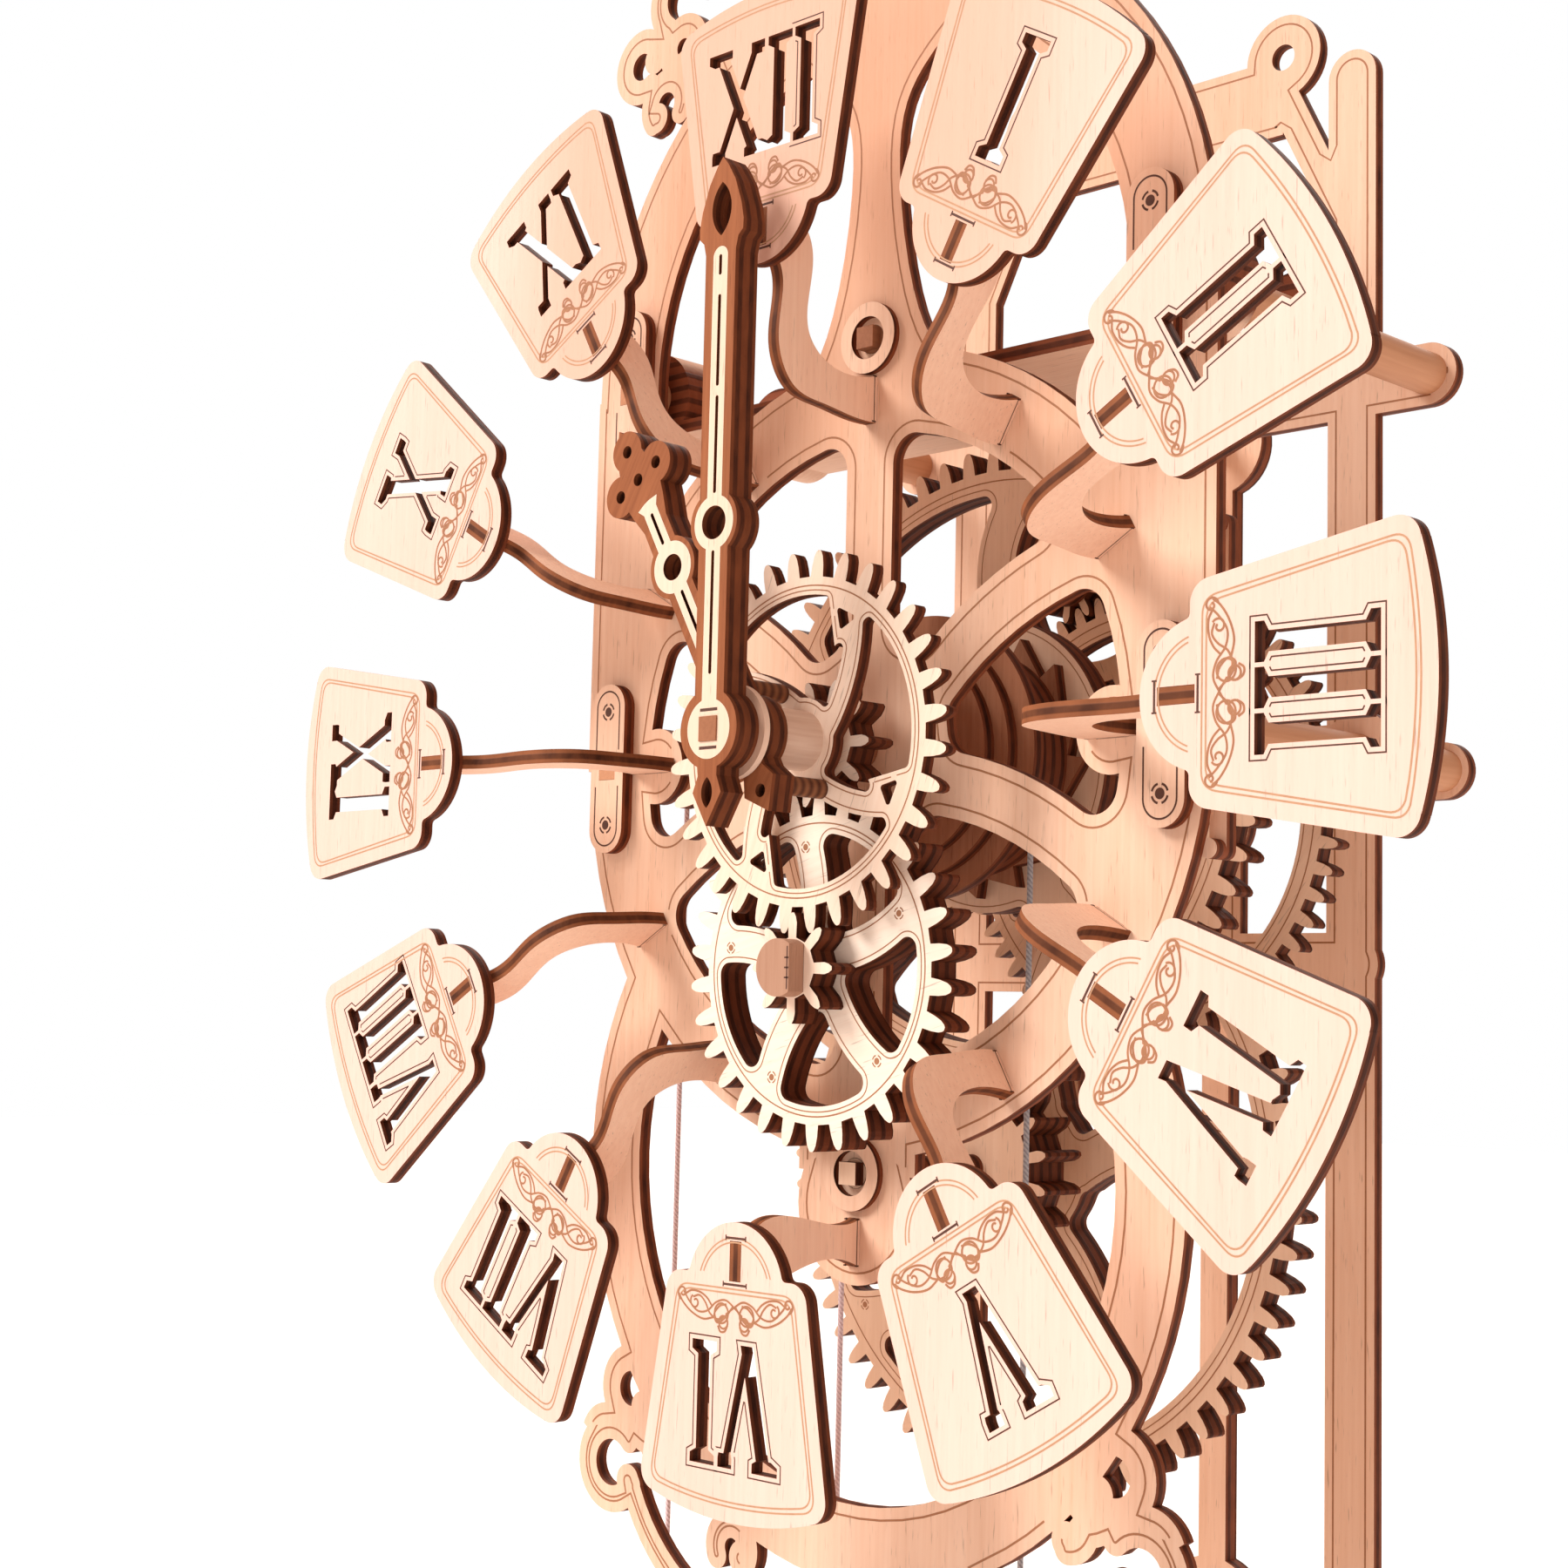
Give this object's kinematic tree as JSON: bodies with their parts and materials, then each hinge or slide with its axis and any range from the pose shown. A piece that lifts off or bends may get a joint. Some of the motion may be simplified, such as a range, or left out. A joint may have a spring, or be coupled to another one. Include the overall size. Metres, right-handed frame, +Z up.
{
  "type": "wooden gear clock",
  "caption": "Free-standing weight-driven clock cut from thin plywood, with separate numeral plates on bent arms, open wheel trains, two hands and a pendulum.",
  "frame": {"origin": "middle of the base's underside, on the surface that the feet stand on", "axes": "+Z up, the dial faces -Y, +X is to the right as seen from the front"},
  "size_m": [0.2, 0.136, 0.3797],
  "materials": {
    "face_ply": "pale basswood plywood, matt",
    "frame_ply": "basswood plywood with laser-scorched edges",
    "wheel_ply": "basswood plywood with laser-scorched teeth",
    "walnut_ply": "walnut-faced plywood, matt",
    "inlay_ply": "pale basswood inlay",
    "dark_wood": "scorched wood",
    "cord_grey": "twisted cord",
    "brass": "satin"
  },
  "bodies": {
    "root": {"hour_plate_1": "face_ply", "hour_plate_2": "face_ply", "hour_plate_3": "face_ply", "hour_plate_4": "face_ply", "hour_plate_5": "face_ply", "hour_plate_6": "face_ply", "hour_plate_7": "face_ply", "hour_plate_8": "face_ply", "hour_plate_9": "face_ply", "hour_plate_10": "face_ply", "hour_plate_11": "face_ply", "hour_plate_12": "face_ply", "plate_arm_1": "frame_ply", "plate_arm_2": "frame_ply", "plate_arm_3": "frame_ply", "plate_arm_4": "frame_ply", "plate_arm_5": "frame_ply", "plate_arm_6": "frame_ply", "plate_arm_7": "frame_ply", "plate_arm_8": "frame_ply", "plate_arm_9": "frame_ply", "plate_arm_10": "frame_ply", "plate_arm_11": "frame_ply", "plate_arm_12": "frame_ply", "base_board": "frame_ply", "base_feet": "frame_ply", "front_frame": "frame_ply", "back_frame": "frame_ply", "movement_plate": "frame_ply", "frame_pillars": "frame_ply", "frame_fittings": "frame_ply", "top_shelf": "frame_ply", "drive_cord": "cord_grey", "tension_cord": "cord_grey"},
    "centre": {"centre_arbor": "dark_wood", "great_wheel": "wheel_ply", "cannon_pinion": "dark_wood", "minute_hand": "walnut_ply", "minute_hand_inlay": "inlay_ply"},
    "hour": {"hour_wheel": "wheel_ply", "hour_pipe": "dark_wood", "hour_hand": "walnut_ply", "hour_hand_inlay": "inlay_ply"},
    "motion": {"minute_wheel": "wheel_ply", "minute_pinion": "wheel_ply"},
    "second": {"second_wheel": "wheel_ply", "second_pinion": "dark_wood"},
    "third": {"third_wheel": "wheel_ply", "third_pinion": "dark_wood"},
    "escape": {"escape_wheel": "wheel_ply", "escape_pinion": "dark_wood"},
    "pendulum": {"anchor": "frame_ply", "pendulum_arbor": "dark_wood", "pendulum_rod": "frame_ply"},
    "bob": {"pendulum_bob": "wheel_ply"},
    "drum": {"cord_drum": "dark_wood"},
    "click": {"click": "wheel_ply"},
    "weight": {"drive_weight": "brass"},
    "tension": {"tension_weight": "brass"},
    "pulley": {"tension_pulley": "wheel_ply"}
  },
  "joints": [
    {"name": "centre_turn", "type": "hinge", "parent": "root", "child": "centre", "pos_m": [0, -0.013, 0.255], "axis": [0, 1, 0], "continuous": true},
    {"name": "hour_turn", "type": "hinge", "parent": "root", "child": "hour", "pos_m": [0, -0.033, 0.255], "axis": [0, 1, 0], "continuous": true},
    {"name": "motion_turn", "type": "hinge", "parent": "root", "child": "motion", "pos_m": [0, -0.028, 0.225], "axis": [0, 1, 0], "continuous": true},
    {"name": "second_turn", "type": "hinge", "parent": "root", "child": "second", "pos_m": [0, 0.007, 0.198], "axis": [0, 1, 0], "continuous": true},
    {"name": "third_turn", "type": "hinge", "parent": "root", "child": "third", "pos_m": [0.0127, 0.017, 0.24894], "axis": [0, 1, 0], "continuous": true},
    {"name": "escape_turn", "type": "hinge", "parent": "root", "child": "escape", "pos_m": [0, 0.03, 0.28518], "axis": [0, 1, 0], "continuous": true},
    {"name": "pendulum_swing", "type": "hinge", "parent": "root", "child": "pendulum", "pos_m": [0, 0.03, 0.312], "axis": [0, 1, 0], "range_deg": [-3, 3]},
    {"name": "bob_adjust", "type": "slide", "parent": "pendulum", "child": "bob", "axis": [0, 0, 1], "range_m": [-0.006, 0.006]},
    {"name": "drum_wind", "type": "hinge", "parent": "centre", "child": "drum", "pos_m": [0, -0.003, 0.255], "axis": [0, 1, 0], "continuous": true},
    {"name": "click_lift", "type": "hinge", "parent": "centre", "child": "click", "pos_m": [-0.02537, 0.004, 0.26423], "axis": [0, -1, 0], "range_deg": [0, 12]},
    {"name": "weight_drop", "type": "slide", "parent": "root", "child": "weight", "axis": [0, 0, 1], "range_m": [-0.05, 0.05], "deforming": ["drive_cord"]},
    {"name": "tension_rise", "type": "slide", "parent": "root", "child": "tension", "axis": [0, 0, 1], "range_m": [-0.026, 0.026], "deforming": ["tension_cord"]},
    {"name": "pulley_turn", "type": "hinge", "parent": "tension", "child": "pulley", "pos_m": [-0.0342, -0.0056, 0.105], "axis": [0, 1, 0], "range_deg": [-90, 90]}
  ],
  "couplings": [
    {"joint": "hour_turn", "follows": "centre_turn", "ratio": 0.083333},
    {"joint": "motion_turn", "follows": "centre_turn", "ratio": -0.33333},
    {"joint": "second_turn", "follows": "centre_turn", "ratio": -3.75},
    {"joint": "third_turn", "follows": "centre_turn", "ratio": 22.5},
    {"joint": "escape_turn", "follows": "centre_turn", "ratio": -121.5},
    {"joint": "tension_rise", "follows": "weight_drop", "ratio": -0.5},
    {"joint": "pulley_turn", "follows": "weight_drop", "rad_per_m": 28.571}
  ]
}
